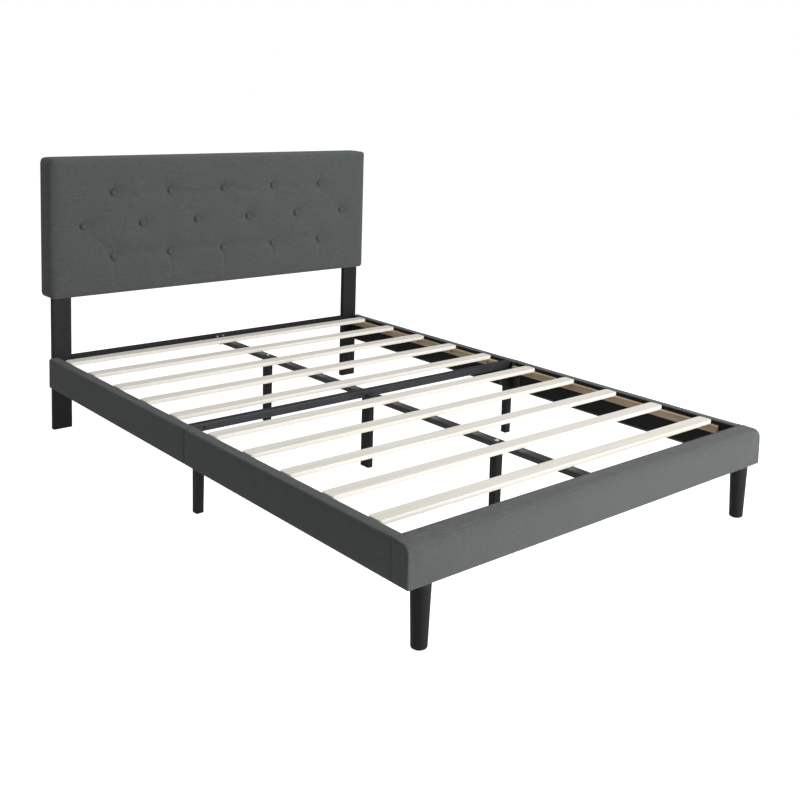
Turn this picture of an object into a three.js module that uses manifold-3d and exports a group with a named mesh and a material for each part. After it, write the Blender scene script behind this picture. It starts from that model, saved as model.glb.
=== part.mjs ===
// Upholstered platform bed with a button-tufted headboard, in millimetres.
// +X is the bed's right side seen from the foot, +Y points to the head, +Z is up.
// The origin is on the floor, in the middle of the bed's outline.

import * as THREE from 'three';
import { mergeVertices } from 'three/addons/utils/BufferGeometryUtils.js';
import Module from 'manifold-3d';

const wasm = await Module();
wasm.setup();

// Overall sizes
const WIDTH = 1435;
const LENGTH = 2085;
const HEIGHT = 1005;
const GAP = 0.3;

// Side rails and footboard
const RAIL_BOTTOM = 164;
const RAIL_TOP = 272;
const RAIL_THICK = 37.5;
const RAIL_BOARD_THICK = 18;
const RAIL_PAD_ROUND = 5;
const FOOT_DEPTH = 70;
const FOOT_END_DEPTH = 60;
const FOOT_BOARD_THICK = 18;
const FOOT_ROUND = 26;
const EDGE_ROUND = 6;

// Headboard
const HEAD_BOTTOM = 491;
const HEAD_FRONT = 1993;
const HEAD_ROUND = 16;
const HEAD_BEVEL = 12;
const HEAD_PAD_THICK = 22;
const HEAD_WALL = 8;
const PLY_THICK = 4.5;
const BACK_THICK = 6;
const HEAD_TIMBER = 41;

// Tufting: rows of five, six and five buttons in a diamond pattern
const BUTTON_PITCH_X = 236;
const BUTTON_PITCH_Z = 119.5;
const BUTTON_MIDDLE_Z = 752.5;
const BUTTON_RADIUS = 11;
const DIMPLE_RADIUS = 27;
const DIMPLE_DEPTH = 9;
const BUTTON_RISE = 4.5;

// Posts and head rail
const POST_FRONT = 2020.2;
const POST_THICK = 21.8;
const POST_WIDTH = 71;
const POST_INSET = 18;
const HEAD_RAIL_HEIGHT = 22;

// Slat platform
const SLAT_COUNT = 5;
const SLAT_WIDTH = 48;
const SLAT_THICK = 13;
const SLAT_END_CLEARANCE = 0.7;
const SLAT_CORNER = 12;
const FRONT_SLAT_START = 175;
const FRONT_SLAT_PITCH = 189;
const REAR_SLAT_START = 1162;
const REAR_SLAT_PITCH = 195;
const LEDGER_WIDTH = 16.5;
const LEDGER_HEIGHT = 24;
const LEDGER_TOP = 258.5;
const FRONT_LEDGER = [125, 1015];
const REAR_LEDGER = [1092, 2008];

// Steel crossbar and centre beam
const SEAM = 1022;
const CROSSBAR_FRONT = 1036;
const ANGLE_DEPTH = 26;
const ANGLE_HEIGHT = 23;
const ANGLE_WALL = 3;
const CROSSBAR_TOP = 271;
const BEAM_WIDTH = 34;
const BEAM_THICK = 17;

// Legs
const FRONT_LEG_X = 652;
const FRONT_LEG_Y = 30;
const FRONT_LEG_TOP = 26;
const FRONT_LEG_FOOT = 20.5;
const MID_LEG_X = 661;
const MID_LEG_Y = 1033;
const SQUARE_LEG_TOP = 28;
const SQUARE_LEG_FOOT = 25;
const FRONT_BEAM_LEG_Y = 436;
const REAR_BEAM_LEG_Y = 1666;
const CENTRE_LEG = { width: 20, depth: 43, y: 1049 };

// Worked out from the sizes above
const HALF_WIDTH = WIDTH / 2;
const INNER_X = HALF_WIDTH - RAIL_THICK;
const BEAM_TOP = LEDGER_TOP;
const BEAM_BOTTOM = BEAM_TOP - BEAM_THICK;
const POST_OUTER = HALF_WIDTH - POST_INSET;
const POST_INNER = POST_OUTER - POST_WIDTH;
const HEAD_BACK = LENGTH;
const CAVITY_FRONT = HEAD_FRONT + HEAD_PAD_THICK;

const FABRIC = new THREE.MeshStandardMaterial({ color: 0x5a5e5d, roughness: 0.95, metalness: 0 });
const BUTTON_CLOTH = new THREE.MeshStandardMaterial({ color: 0x4c5050, roughness: 0.95, metalness: 0 });
const BOARD = new THREE.MeshStandardMaterial({ color: 0x9b7b55, roughness: 0.85, metalness: 0 });
const PINE = new THREE.MeshStandardMaterial({ color: 0xb89c7c, roughness: 0.7, metalness: 0 });
const SLAT_WOOD = new THREE.MeshStandardMaterial({ color: 0xefeee0, roughness: 0.65, metalness: 0 });
const BLACK_WOOD = new THREE.MeshStandardMaterial({ color: 0x2b2b2f, roughness: 0.5, metalness: 0 });
const BLACK_STEEL = new THREE.MeshStandardMaterial({ color: 0x2c2c33, roughness: 0.45, metalness: 0.4 });

const bed = new THREE.Group();
bed.position.y = -LENGTH / 2;

// Every piece is placed in a frame whose Y runs from the foot end of the bed.
function addPiece(name, geometry, material) {
  const clone = material.clone();
  const mesh = new THREE.Mesh(geometry, clone);
  mesh.name = name;
  bed.add(mesh);
  return mesh;
}

function boxGeometry(x, y, z) {
  const geometry = new THREE.BoxGeometry(x[1] - x[0], y[1] - y[0], z[1] - z[0]);
  geometry.translate((x[0] + x[1]) / 2, (y[0] + y[1]) / 2, (z[0] + z[1]) / 2);
  return geometry;
}

// A closed outline from corner points, each with its own corner radius.
function roundedShape(corners) {
  const shape = new THREE.Shape();
  const count = corners.length;
  for (let i = 0; i < count; i += 1) {
    const [x, y, radius] = corners[i];
    const before = corners[(i + count - 1) % count];
    const after = corners[(i + 1) % count];
    const here = new THREE.Vector2(x, y);
    const inward = new THREE.Vector2(before[0] - x, before[1] - y).setLength(radius).add(here);
    const outward = new THREE.Vector2(after[0] - x, after[1] - y).setLength(radius).add(here);
    if (i === 0) {
      shape.moveTo(inward.x, inward.y);
    } else {
      shape.lineTo(inward.x, inward.y);
    }
    if (radius > 0) {
      shape.quadraticCurveTo(x, y, outward.x, outward.y);
    }
  }
  shape.closePath();
  return shape;
}

// An (x, z) outline swept along Y.
function sweepAlongY(shape, y, options = {}) {
  const depth = y[1] - y[0];
  const settings = { depth, bevelEnabled: false, curveSegments: 5, ...options };
  const geometry = new THREE.ExtrudeGeometry(shape, settings);
  geometry.rotateX(Math.PI / 2);
  geometry.translate(0, y[1], 0);
  return geometry;
}

// A (y, z) outline swept along X.
function sweepAlongX(shape, x) {
  const settings = { depth: x[1] - x[0], bevelEnabled: false, curveSegments: 6 };
  const geometry = new THREE.ExtrudeGeometry(shape, settings);
  geometry.rotateY(Math.PI / 2);
  geometry.rotateX(Math.PI / 2);
  geometry.translate(x[0], 0, 0);
  return geometry;
}

function toSolid(geometry) {
  const bare = geometry.clone();
  bare.deleteAttribute('normal');
  bare.deleteAttribute('uv');
  const merged = mergeVertices(bare, 1e-4);
  const vertProperties = new Float32Array(merged.attributes.position.array);
  const triVerts = new Uint32Array(merged.index.array);
  return new wasm.Manifold(new wasm.Mesh({ numProp: 3, vertProperties, triVerts }));
}

function toGeometry(solid) {
  const mesh = solid.getMesh();
  const geometry = new THREE.BufferGeometry();
  geometry.setAttribute('position', new THREE.BufferAttribute(new Float32Array(mesh.vertProperties), 3));
  geometry.setIndex(new THREE.BufferAttribute(new Uint32Array(mesh.triVerts), 1));
  geometry.computeVertexNormals();
  return geometry;
}

function cut(geometry, cutters) {
  let solid = toSolid(geometry);
  for (const cutter of cutters) {
    solid = solid.subtract(toSolid(cutter));
  }
  return toGeometry(solid);
}

function buttonPlaces() {
  const rows = [
    { name: 'bottom', count: 5, z: BUTTON_MIDDLE_Z - BUTTON_PITCH_Z },
    { name: 'middle', count: 6, z: BUTTON_MIDDLE_Z },
    { name: 'top', count: 5, z: BUTTON_MIDDLE_Z + BUTTON_PITCH_Z },
  ];
  const places = [];
  for (const row of rows) {
    for (let i = 0; i < row.count; i += 1) {
      const x = (i - (row.count - 1) / 2) * BUTTON_PITCH_X;
      places.push({ name: `button_${row.name}_${i + 1}`, x, z: row.z });
    }
  }
  return places;
}

// A shallow cone that opens to the front, where a button draws the padding in.
function dimpleCutter(place) {
  const profile = [
    new THREE.Vector2(0, -DIMPLE_DEPTH),
    new THREE.Vector2(BUTTON_RADIUS + 1, -DIMPLE_DEPTH),
    new THREE.Vector2(DIMPLE_RADIUS, 0),
    new THREE.Vector2(DIMPLE_RADIUS, 2),
    new THREE.Vector2(0, 2),
  ];
  const cutter = new THREE.LatheGeometry(profile, 14);
  cutter.rotateX(Math.PI);
  cutter.translate(place.x, HEAD_FRONT, place.z);
  return cutter;
}

// The padded front and sides are one tray that wraps the headboard's frame.
function headboardPad() {
  const inset = HEAD_BEVEL;
  const halfWidth = HALF_WIDTH - inset;
  const bottom = HEAD_BOTTOM + inset;
  const top = HEIGHT - inset;
  const outline = roundedShape([
    [-halfWidth, bottom, HEAD_ROUND],
    [halfWidth, bottom, HEAD_ROUND],
    [halfWidth, top, HEAD_ROUND],
    [-halfWidth, top, HEAD_ROUND],
  ]);
  const overrun = 2 * HEAD_BEVEL;
  const bevel = { bevelEnabled: true, bevelSize: inset, bevelThickness: inset, bevelSegments: 3 };
  const body = sweepAlongY(outline, [HEAD_FRONT + inset, HEAD_BACK + overrun], bevel);
  const wide = HALF_WIDTH + overrun;
  const cutters = [
    boxGeometry([-wide, wide], [HEAD_BACK, HEAD_BACK + 2 * overrun], [HEAD_BOTTOM - 9, HEIGHT + 9]),
    boxGeometry(
      [-HALF_WIDTH + HEAD_WALL, HALF_WIDTH - HEAD_WALL],
      [CAVITY_FRONT, HEAD_BACK + 1],
      [HEAD_BOTTOM + HEAD_WALL, HEIGHT - HEAD_WALL],
    ),
  ];
  for (const side of [-1, 1]) {
    const slot = [side * (POST_INNER - GAP), side * (POST_OUTER + GAP)].sort((a, b) => a - b);
    const depth = [POST_FRONT - GAP, POST_FRONT + POST_THICK + GAP];
    cutters.push(boxGeometry(slot, depth, [HEAD_BOTTOM - 5, HEAD_BOTTOM + HEAD_WALL + 1]));
  }
  cutters.push(...buttonPlaces().map(dimpleCutter));
  addPiece('headboard_pad', cut(body, cutters), FABRIC);
}

function headboardInside() {
  const halfWidth = HALF_WIDTH - HEAD_WALL - GAP;
  const bottom = HEAD_BOTTOM + HEAD_WALL + GAP;
  const top = HEIGHT - HEAD_WALL - GAP;
  const plyBack = CAVITY_FRONT + GAP + PLY_THICK;
  const ply = boxGeometry([-halfWidth, halfWidth], [CAVITY_FRONT + GAP, plyBack], [bottom, top]);
  addPiece('headboard_plywood', ply, BOARD);
  const timber = [POST_FRONT, HEAD_BACK - BACK_THICK - GAP];
  const topRail = boxGeometry([-halfWidth, halfWidth], timber, [top - HEAD_TIMBER, top]);
  addPiece('headboard_top_timber', topRail, BOARD);
  const between = [-POST_INNER + GAP, POST_INNER - GAP];
  const bottomRail = boxGeometry(between, timber, [bottom, bottom + HEAD_TIMBER]);
  addPiece('headboard_bottom_timber', bottomRail, BOARD);
  const back = boxGeometry([-halfWidth, halfWidth], [HEAD_BACK - BACK_THICK, HEAD_BACK], [bottom, top]);
  addPiece('headboard_back_panel', back, FABRIC);
}

// A covered button: a domed cap on a short shank, seated in its dimple.
function headboardButtons() {
  const height = DIMPLE_DEPTH + BUTTON_RISE - GAP;
  const profile = [
    new THREE.Vector2(0, 0),
    new THREE.Vector2(BUTTON_RADIUS * 0.7, 0),
    new THREE.Vector2(BUTTON_RADIUS, height * 0.35),
    new THREE.Vector2(BUTTON_RADIUS * 0.92, height * 0.6),
    new THREE.Vector2(BUTTON_RADIUS * 0.55, height * 0.9),
    new THREE.Vector2(0, height),
  ];
  for (const place of buttonPlaces()) {
    const cap = new THREE.LatheGeometry(profile, 12);
    cap.rotateX(Math.PI);
    cap.translate(place.x, HEAD_FRONT + DIMPLE_DEPTH - GAP, place.z);
    addPiece(place.name, cap, BUTTON_CLOTH);
  }
}

function postsAndHeadRail() {
  const y = [POST_FRONT, POST_FRONT + POST_THICK];
  const postTop = HEIGHT - HEAD_WALL - 2 * GAP - HEAD_TIMBER;
  for (const [name, side] of [['left', -1], ['right', 1]]) {
    const x = [side * POST_INNER, side * POST_OUTER].sort((a, b) => a - b);
    addPiece(`post_${name}`, boxGeometry(x, y, [0, postTop]), BLACK_WOOD);
  }
  const between = [-POST_INNER + GAP, POST_INNER - GAP];
  const rail = boxGeometry(between, y, [RAIL_TOP - HEAD_RAIL_HEIGHT, RAIL_TOP]);
  addPiece('head_rail', rail, BLACK_WOOD);
}

// Each side rail is two halves, and each half is a board with a padded outer face.
function sideRails() {
  const halves = [
    ['front', [FOOT_END_DEPTH + GAP, SEAM - GAP]],
    ['rear', [SEAM + GAP, POST_FRONT - GAP]],
  ];
  const boardOuter = INNER_X + RAIL_BOARD_THICK;
  const padInner = boardOuter + GAP;
  for (const [sideName, side] of [['left', -1], ['right', 1]]) {
    for (const [halfName, y] of halves) {
      const boardX = [side * INNER_X, side * boardOuter].sort((a, b) => a - b);
      const board = boxGeometry(boardX, y, [RAIL_BOTTOM, RAIL_TOP - 1]);
      addPiece(`rail_board_${sideName}_${halfName}`, board, BOARD);
      const outline = roundedShape([
        [padInner, RAIL_BOTTOM, 0],
        [HALF_WIDTH, RAIL_BOTTOM, EDGE_ROUND],
        [HALF_WIDTH, RAIL_TOP, RAIL_PAD_ROUND],
        [padInner, RAIL_TOP, 0],
      ]);
      const pad = sweepAlongY(outline, y);
      if (side < 0) {
        pad.rotateZ(Math.PI);
        pad.translate(0, y[0] + y[1], 0);
      }
      addPiece(`rail_pad_${sideName}_${halfName}`, pad, FABRIC);
    }
  }
}

function footboard() {
  const outline = roundedShape([
    [0, RAIL_BOTTOM, EDGE_ROUND],
    [FOOT_END_DEPTH, RAIL_BOTTOM, 0],
    [FOOT_END_DEPTH, RAIL_TOP, EDGE_ROUND],
    [0, RAIL_TOP, FOOT_ROUND],
  ]);
  const pad = sweepAlongX(outline, [-HALF_WIDTH, HALF_WIDTH]);
  const boardFront = FOOT_DEPTH - FOOT_BOARD_THICK;
  const recess = boxGeometry(
    [-INNER_X, INNER_X],
    [boardFront - GAP, FOOT_END_DEPTH + 5],
    [RAIL_BOTTOM - 5, RAIL_TOP + 5],
  );
  addPiece('footboard_pad', cut(pad, [recess]), FABRIC);
  const boardX = [-INNER_X + GAP, INNER_X - GAP];
  const board = boxGeometry(boardX, [boardFront, FOOT_DEPTH], [RAIL_BOTTOM, RAIL_TOP - 1]);
  addPiece('footboard_board', board, BOARD);
}

function ledgers() {
  for (const [sideName, side] of [['left', -1], ['right', 1]]) {
    for (const [halfName, y] of [['front', FRONT_LEDGER], ['rear', REAR_LEDGER]]) {
      const outer = INNER_X - GAP;
      const x = [side * outer, side * (outer - LEDGER_WIDTH)].sort((a, b) => a - b);
      const strip = boxGeometry(x, y, [LEDGER_TOP - LEDGER_HEIGHT, LEDGER_TOP]);
      addPiece(`ledger_${sideName}_${halfName}`, strip, PINE);
    }
  }
}

function slats() {
  const halfLength = INNER_X - SLAT_END_CLEARANCE;
  const outline = roundedShape([
    [-halfLength, -SLAT_WIDTH / 2, SLAT_CORNER],
    [halfLength, -SLAT_WIDTH / 2, SLAT_CORNER],
    [halfLength, SLAT_WIDTH / 2, SLAT_CORNER],
    [-halfLength, SLAT_WIDTH / 2, SLAT_CORNER],
  ]);
  const groups = [
    ['front', FRONT_SLAT_START, FRONT_SLAT_PITCH],
    ['rear', REAR_SLAT_START, REAR_SLAT_PITCH],
  ];
  for (const [groupName, start, pitch] of groups) {
    for (let i = 0; i < SLAT_COUNT; i += 1) {
      const settings = { depth: SLAT_THICK, bevelEnabled: false, curveSegments: 4 };
      const slat = new THREE.ExtrudeGeometry(outline, settings);
      slat.translate(0, start + i * pitch, LEDGER_TOP + GAP);
      addPiece(`slat_${groupName}_${i + 1}`, slat, SLAT_WOOD);
    }
  }
}

// Two steel angles meet in the middle and tie the side rails together at their seams.
function crossbar() {
  const y = CROSSBAR_FRONT;
  const top = CROSSBAR_TOP;
  const outline = roundedShape([
    [y, top - ANGLE_HEIGHT, 0],
    [y + ANGLE_WALL, top - ANGLE_HEIGHT, 0],
    [y + ANGLE_WALL, top - ANGLE_WALL, 0],
    [y + ANGLE_DEPTH, top - ANGLE_WALL, 0],
    [y + ANGLE_DEPTH, top, 0],
    [y, top, 1.5],
  ]);
  addPiece('crossbar_left', sweepAlongX(outline, [-INNER_X + GAP, -GAP]), BLACK_STEEL);
  addPiece('crossbar_right', sweepAlongX(outline, [GAP, INNER_X - GAP]), BLACK_STEEL);
}

function centreBeam() {
  const x = [-BEAM_WIDTH / 2, BEAM_WIDTH / 2];
  const z = [BEAM_BOTTOM, BEAM_TOP];
  const frontSpan = [FOOT_DEPTH + GAP, CROSSBAR_FRONT - GAP];
  const rearSpan = [CROSSBAR_FRONT + ANGLE_WALL + GAP, POST_FRONT - ANGLE_WALL - 2 * GAP];
  addPiece('centre_beam_front', boxGeometry(x, frontSpan, z), BLACK_STEEL);
  addPiece('centre_beam_rear', boxGeometry(x, rearSpan, z), BLACK_STEEL);
  const face = POST_FRONT - GAP;
  const ledge = BEAM_BOTTOM - GAP;
  const outline = roundedShape([
    [face - 40, ledge - ANGLE_WALL, 0],
    [face, ledge - ANGLE_WALL, 0],
    [face, RAIL_TOP - 4, 0],
    [face - ANGLE_WALL, RAIL_TOP - 4, 0],
    [face - ANGLE_WALL, ledge, 0],
    [face - 40, ledge, 0],
  ]);
  const halfBracket = BEAM_WIDTH / 2 + 6;
  addPiece('beam_bracket', sweepAlongX(outline, [-halfBracket, halfBracket]), BLACK_STEEL);
}

function squareLeg(name, x, y, top, material) {
  const radius = (side) => side / Math.SQRT2;
  const leg = new THREE.CylinderGeometry(radius(SQUARE_LEG_TOP), radius(SQUARE_LEG_FOOT), top, 4);
  leg.rotateY(Math.PI / 4);
  leg.rotateX(Math.PI / 2);
  leg.translate(x, y, top / 2);
  addPiece(name, leg, material);
}

function legs() {
  const frontTop = RAIL_BOTTOM - GAP;
  const underBeam = BEAM_BOTTOM - GAP;
  for (const [name, side] of [['left', -1], ['right', 1]]) {
    const leg = new THREE.CylinderGeometry(FRONT_LEG_TOP, FRONT_LEG_FOOT, frontTop, 24);
    leg.rotateX(Math.PI / 2);
    leg.translate(side * FRONT_LEG_X, FRONT_LEG_Y, frontTop / 2);
    addPiece(`front_leg_${name}`, leg, BLACK_WOOD);
    const underCrossbar = CROSSBAR_TOP - ANGLE_HEIGHT - GAP;
    squareLeg(`mid_leg_${name}`, side * MID_LEG_X, MID_LEG_Y, underCrossbar, BLACK_WOOD);
  }
  squareLeg('beam_leg_front', 0, FRONT_BEAM_LEG_Y, underBeam, BLACK_WOOD);
  squareLeg('beam_leg_rear', 0, REAR_BEAM_LEG_Y, underBeam, BLACK_WOOD);
  const { width, depth, y } = CENTRE_LEG;
  const centre = boxGeometry([-width / 2, width / 2], [y - depth / 2, y + depth / 2], [0, underBeam]);
  addPiece('centre_leg', centre, BLACK_WOOD);
}

headboardPad();
headboardInside();
headboardButtons();
postsAndHeadRail();
sideRails();
footboard();
ledgers();
slats();
crossbar();
centreBeam();
legs();

export default bed;
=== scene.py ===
"""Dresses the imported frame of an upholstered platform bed: covers, buttons, slats, fittings and studio."""

import math

import bmesh
import bpy
import numpy as np
from mathutils import Matrix, Vector, noise


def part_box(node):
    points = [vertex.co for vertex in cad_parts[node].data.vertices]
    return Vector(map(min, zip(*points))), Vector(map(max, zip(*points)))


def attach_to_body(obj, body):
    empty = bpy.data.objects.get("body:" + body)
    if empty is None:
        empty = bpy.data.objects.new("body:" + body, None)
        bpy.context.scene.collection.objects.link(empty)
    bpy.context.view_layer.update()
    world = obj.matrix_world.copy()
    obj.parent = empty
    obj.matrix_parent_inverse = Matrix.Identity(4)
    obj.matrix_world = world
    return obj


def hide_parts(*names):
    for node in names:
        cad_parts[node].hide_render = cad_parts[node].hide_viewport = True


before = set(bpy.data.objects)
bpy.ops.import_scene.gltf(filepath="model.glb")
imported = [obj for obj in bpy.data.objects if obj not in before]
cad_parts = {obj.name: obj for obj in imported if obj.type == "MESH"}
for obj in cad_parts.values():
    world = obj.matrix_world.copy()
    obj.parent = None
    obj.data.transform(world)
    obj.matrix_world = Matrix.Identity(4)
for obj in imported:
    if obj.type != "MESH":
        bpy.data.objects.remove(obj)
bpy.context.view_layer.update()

# Every length is in metres. MM turns millimetres into metres.
MM = 0.001

# The gap round a fitted piece, the smallest length that counts, how near a face a point on it lies,
# and how far a cut reaches past the piece
GAP = 0.3 * MM
HAIR = 0.01 * MM
ON_FACE = 1 * MM
CUT_PAST = 10 * MM

# Edges that turn by more than these are rounded, or shaded sharp. Below the flat angle they are dissolved.
ROUNDED_ANGLE = math.radians(30)
SHARP_ANGLE = math.radians(40)
LEG_SHARP_ANGLE = math.radians(50)
FLAT_ANGLE = math.radians(1)

# Cloth and foam
CLOTH_STEP = 9 * MM
CLOTH_FRAMES = 16
CLOTH_QUALITY = 4
CLOTH_MASS = 0.3
CLOTH_STRETCH = 12
CLOTH_SHEAR = 4
CLOTH_BENDING = 3.0
CLOTH_PRESSURE = 4.0
THREAD_PITCH = 1.3 * MM
LINING_THICK = 0.8 * MM
LINING_EDGE = 0.3 * MM
LINING_HEM = 7 * MM
LINING_TOP_HEM = 1.5 * MM

# The size and the height of the covers' uneven swells
HEAD_SWELL = (90 * MM, 0.9 * MM)
RAIL_SWELL = (70 * MM, 0.7 * MM)
FOOT_SWELL = (80 * MM, 0.7 * MM)

# Headboard cover
HEAD_CORNER = 20 * MM
HEAD_SIDE_ROUND = 19 * MM
HEAD_RIM_ROUND = 5 * MM
HEAD_BACK_ROUND = 3 * MM
HEAD_SLACK = 0.3 * MM
HEAD_STAPLED = 12 * MM
DIMPLE_DEPTH = 13 * MM
DIMPLE_SPREAD = 19 * MM
BUTTON_GRIP = 9 * MM
BUTTON_SINK = 6.5 * MM
BUTTON_SEAT = 3.5 * MM
FOAM_RISE = 2.5 * MM
SIDE_RISE = 1 * MM

# Folds from the outer buttons to the headboard's rim, as (length, depth at the button)
LOW_FOLD = (100 * MM, 3.0 * MM)
HIGH_FOLD = (65 * MM, 2.0 * MM)
SIDE_FOLD = (75 * MM, 2.8 * MM)
FOLD_END_DEPTH = 0.1 * MM
FOLD_WIDTH = 6 * MM
FOLD_RIDGE = 0.35

# How far back from the front the folds are at full depth, and over what distance they fade
FOLD_REACH = 14 * MM
FOLD_FADE = 10 * MM

# Faint folds from each middle button to the buttons nearest it
DIAMOND_DEPTH = 0.35 * MM
DIAMOND_WIDTH = 14 * MM

# Rail and footboard covers
RAIL_SLACK = 1 * MM
RAIL_TOP_ROUND = 6 * MM
RAIL_INNER_ROUND = 2.5 * MM
RAIL_INNER_LOW_ROUND = 2 * MM
RAIL_LOW_ROUND = 3 * MM
RAIL_END_ROUND = 3.5 * MM
RAIL_RISE = 1.5 * MM
FOOT_TOP_ROUND = 24 * MM
FOOT_END_ROUND = 3.5 * MM
FOOT_STAPLED = 8 * MM

# Eased edges of the hard pieces
PANEL_EDGE = 1.6 * MM
BOARD_EDGE = 0.8 * MM
SLAT_EDGE = 1.6 * MM
LEDGER_EDGE = 1.2 * MM
POST_EDGE = 2.2 * MM
HEAD_RAIL_EDGE = 1.8 * MM
LEG_EDGE = 1.8 * MM
CROSSBAR_EDGE = 0.7 * MM
BEAM_EDGE = 1.1 * MM
SEAM_PLATE_EDGE = 0.8 * MM
BRACKET_EDGE = 0.6 * MM

# Staples on the back panel: in from its edges, from one to the next, and from its corners
STAPLE_INSET = 9 * MM
STAPLE_PITCH = 55 * MM
STAPLE_ROW_START = 30 * MM
STAPLE_COLUMN_START = 40 * MM

# Screws and bolts, measured from the ends or edges of the pieces that they hold
LEDGER_SCREW_START = 50 * MM
LEDGER_SCREW_PITCH = 200 * MM
POST_BOLT_INSET = 26 * MM
SEAM_BOLT_INSET = 14 * MM

# Front legs: the foot's radius as a share of the top's, and the height of the glide
FOOT_TO_TOP = 20.5 / 26
GLIDE = 2 * MM

# Where the camera stands, which way it looks, and its lens
CAMERA_PLACE = Vector((-2.2523, -2.7859, 1.2953))
CAMERA_YAW = math.radians(40.345)
CAMERA_PITCH = math.radians(6.66)
CAMERA_ROLL = math.radians(1.575)
CAMERA_LENS = 48.8
CAMERA_SHIFT = -0.2345

# The floor's size, and the glow of the floor and the sky: as it reaches the bed, and as the camera sees it
FLOOR_RADIUS = 60
FLOOR_GLOW = (0.12, 0.95)
SKY_GLOW = (0.13, 1.0)

scene = bpy.context.scene


# ---------------------------------------------------------------- mesh tools

def add_piece(name, bm, material):
    """Turns a bmesh into a smooth-shaded object of that name."""
    bmesh.ops.recalc_face_normals(bm, faces=bm.faces)
    for face in bm.faces:
        face.smooth = True
    mesh = bpy.data.meshes.new(name)
    bm.to_mesh(mesh)
    bm.free()
    if "custom_normal" in mesh.attributes:
        mesh.attributes.remove(mesh.attributes["custom_normal"])
    mesh.materials.append(material)
    piece = bpy.data.objects.new(name, mesh)
    scene.collection.objects.link(piece)
    return piece


def attach(piece, nodes=()):
    """The bed has one body, so every piece rides on root."""
    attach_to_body(piece, "root")
    if nodes:
        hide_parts(*nodes)


def crisp(piece):
    """Keeps flat faces flat and the small rounds between them smooth."""
    piece.data.set_sharp_from_angle(angle=SHARP_ANGLE)
    weighted = piece.modifiers.new("Flat faces", "WEIGHTED_NORMAL")
    weighted.keep_sharp = True


def read_points(piece):
    flat = np.zeros(len(piece.data.vertices) * 3)
    piece.data.vertices.foreach_get("co", flat)
    return flat.reshape(-1, 3)


def write_points(piece, points):
    piece.data.vertices.foreach_set("co", points.ravel())
    piece.data.update()


def settle_modifiers(piece):
    """Puts what the modifiers make into the piece's own mesh."""
    graph = bpy.context.evaluated_depsgraph_get()
    finished = bpy.data.meshes.new_from_object(piece.evaluated_get(graph))
    piece.modifiers.clear()
    piece.data = finished


def add_box(bm, low, high):
    made = bmesh.ops.create_cube(bm, size=1.0)
    size = Vector(high) - Vector(low)
    middle = (Vector(high) + Vector(low)) / 2
    place = Matrix.Translation(middle) @ Matrix.Diagonal((*size, 1.0))
    bmesh.ops.transform(bm, matrix=place, verts=made["verts"])
    return made["verts"]


def bevel_sharp(bm, radius, segments):
    """Rounds every edge that turns by more than the rounded angle."""
    sharp = [edge for edge in bm.edges if edge.is_manifold and edge.calc_face_angle(0.0) > ROUNDED_ANGLE]
    bmesh.ops.bevel(
        bm, geom=sharp, offset=radius, segments=segments, profile=0.5, affect="EDGES", clamp_overlap=True
    )


def rounded_box(name, low, high, radius, material, segments=3):
    bm = bmesh.new()
    add_box(bm, low, high)
    bevel_sharp(bm, radius, segments)
    piece = add_piece(name, bm, material)
    crisp(piece)
    return piece


def finished_copy(node, radius, material, segments=3):
    """A CAD solid rebuilt with clean faces and its sharp edges eased."""
    bm = bmesh.new()
    bm.from_mesh(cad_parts[node].data)
    bmesh.ops.remove_doubles(bm, verts=bm.verts, dist=HAIR)
    bmesh.ops.dissolve_limit(bm, angle_limit=FLAT_ANGLE, verts=bm.verts, edges=bm.edges)
    bevel_sharp(bm, radius, segments)
    piece = add_piece(f"{node}_finished", bm, material)
    crisp(piece)
    attach(piece, [node])


def carve(piece, boxes):
    """Cuts boxes out of a piece."""
    bm = bmesh.new()
    for low, high in boxes:
        add_box(bm, low, high)
    cutter = add_piece(f"{piece.name}_cutter", bm, piece.data.materials[0])
    cutting = piece.modifiers.new("Cut", "BOOLEAN")
    cutting.operation = "DIFFERENCE"
    cutting.solver = "EXACT"
    cutting.object = cutter
    settle_modifiers(piece)
    bpy.data.objects.remove(cutter)


def outline(corners, step):
    """Points round a closed outline of right-angled corners, each given as (a, b, radius)."""
    rounds = []
    for i, (a, b, radius) in enumerate(corners):
        here = Vector((a, b))
        before = Vector(corners[i - 1][:2])
        after = Vector(corners[(i + 1) % len(corners)][:2])
        start = here + (before - here).normalized() * radius
        end = here + (after - here).normalized() * radius
        centre = start + end - here
        turns = max(2, round(radius * math.pi / 2 / step * 2))
        angles = [k / turns * math.pi / 2 for k in range(turns + 1)]
        arms = (start - centre, end - centre)
        rounds.append([centre + arms[0] * math.cos(t) + arms[1] * math.sin(t) for t in angles])
    points = []
    for i, arc in enumerate(rounds):
        points.extend(arc)
        onward = rounds[(i + 1) % len(rounds)][0]
        cells = max(1, round((onward - arc[-1]).length / step))
        points.extend(arc[-1].lerp(onward, k / cells) for k in range(1, cells))
    return points


def end_rings(length, radius, step):
    """(distance along, how far the outline draws in) for a sweep whose ends are rounded."""
    turns = 4
    near = []
    for k in range(turns):
        angle = math.pi / 2 * (1 - k / turns)
        near.append((radius * (1 - math.sin(angle)), radius * (1 - math.cos(angle))))
    cells = max(1, round((length - 2 * radius) / step))
    middle = [(radius + (length - 2 * radius) * k / cells, 0.0) for k in range(cells + 1)]
    far = [(length - along, inset) for along, inset in reversed(near)]
    return near + middle + far


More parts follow.
